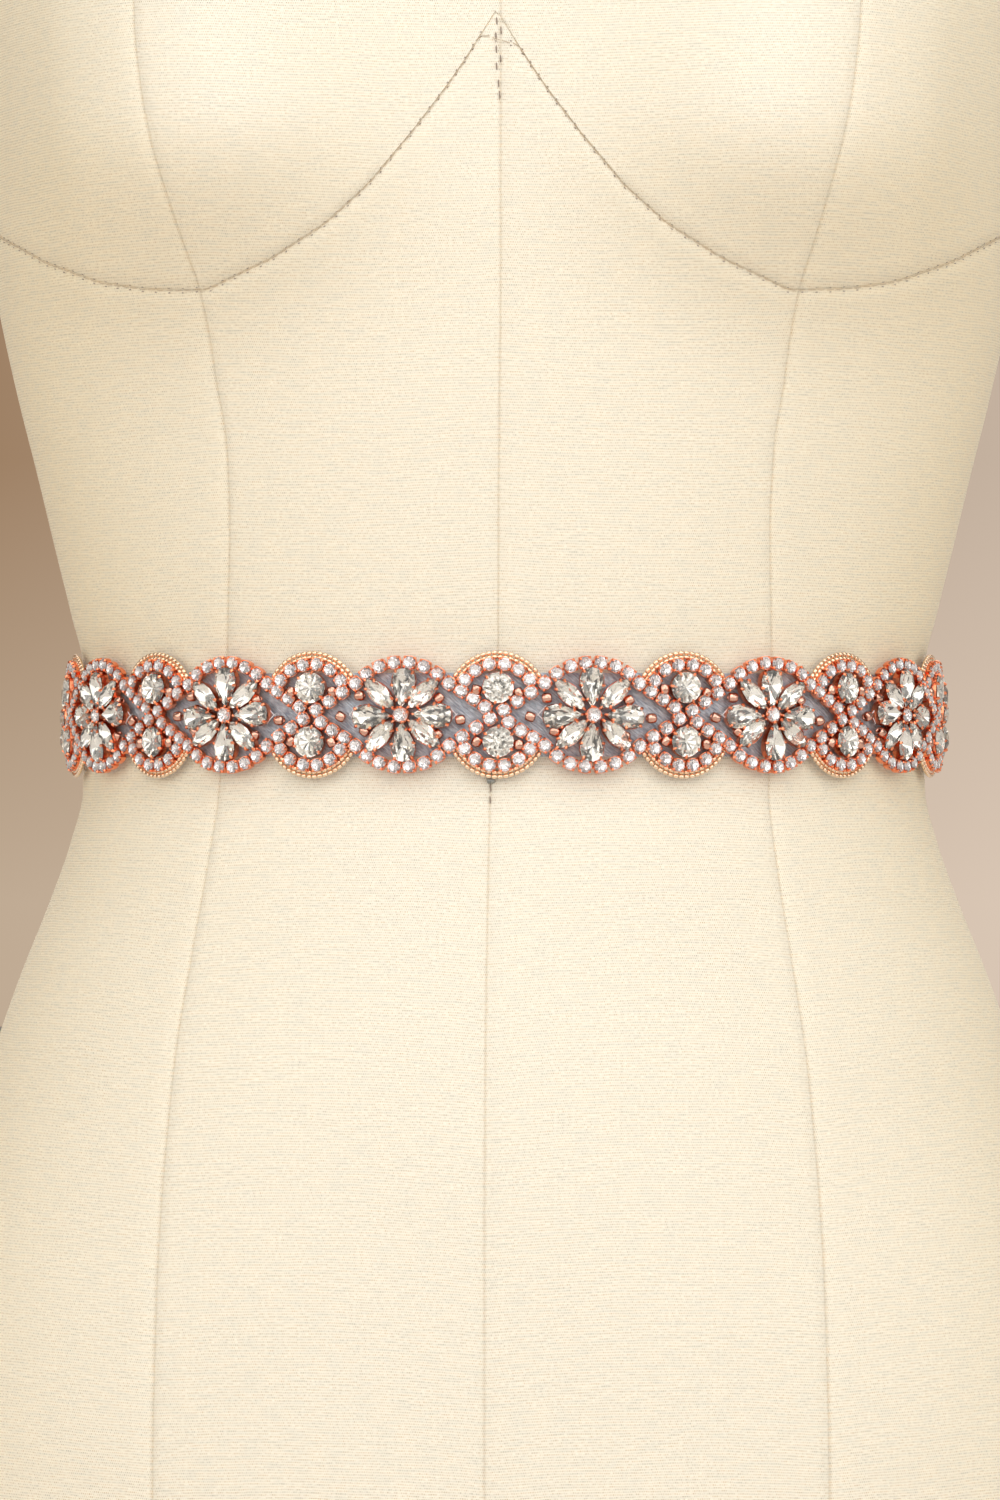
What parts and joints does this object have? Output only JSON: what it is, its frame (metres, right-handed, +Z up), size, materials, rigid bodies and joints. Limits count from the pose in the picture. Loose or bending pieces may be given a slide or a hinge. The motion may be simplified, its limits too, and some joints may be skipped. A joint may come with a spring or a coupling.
{
  "type": "rhinestone belt on limbless dress form",
  "caption": "Rhinestone belt: crystal flowers and round stones in copper cup chain on net over a grey satin ribbon, worn at the waist of a linen dress form.",
  "frame": {"origin": "centre of the dress form's flat underside, on the surface it stands on", "axes": "+Z up through the neck, -Y towards the front of the form, where the middle motif of the belt sits, +X to its right as seen from the front"},
  "size_m": [0.337, 0.2433, 0.685],
  "materials": {
    "dress_form": "matt ribbed linen",
    "ribbon": "satin",
    "backing": "sheer net",
    "double": "foiled crystal in copper settings",
    "flower": "foiled crystal in copper settings"
  },
  "bodies": {
    "root": {"dress_form": "dress_form", "ribbon": "ribbon", "backing": "backing", "double_1": "double", "double_2": "double", "double_3": "double", "double_4": "double", "double_5": "double", "double_6": "double", "double_7": "double", "double_8": "double", "double_9": "double", "flower_1": "flower", "flower_2": "flower", "flower_3": "flower", "flower_4": "flower", "flower_5": "flower", "flower_6": "flower", "flower_7": "flower", "flower_8": "flower"}
  },
  "joints": []
}
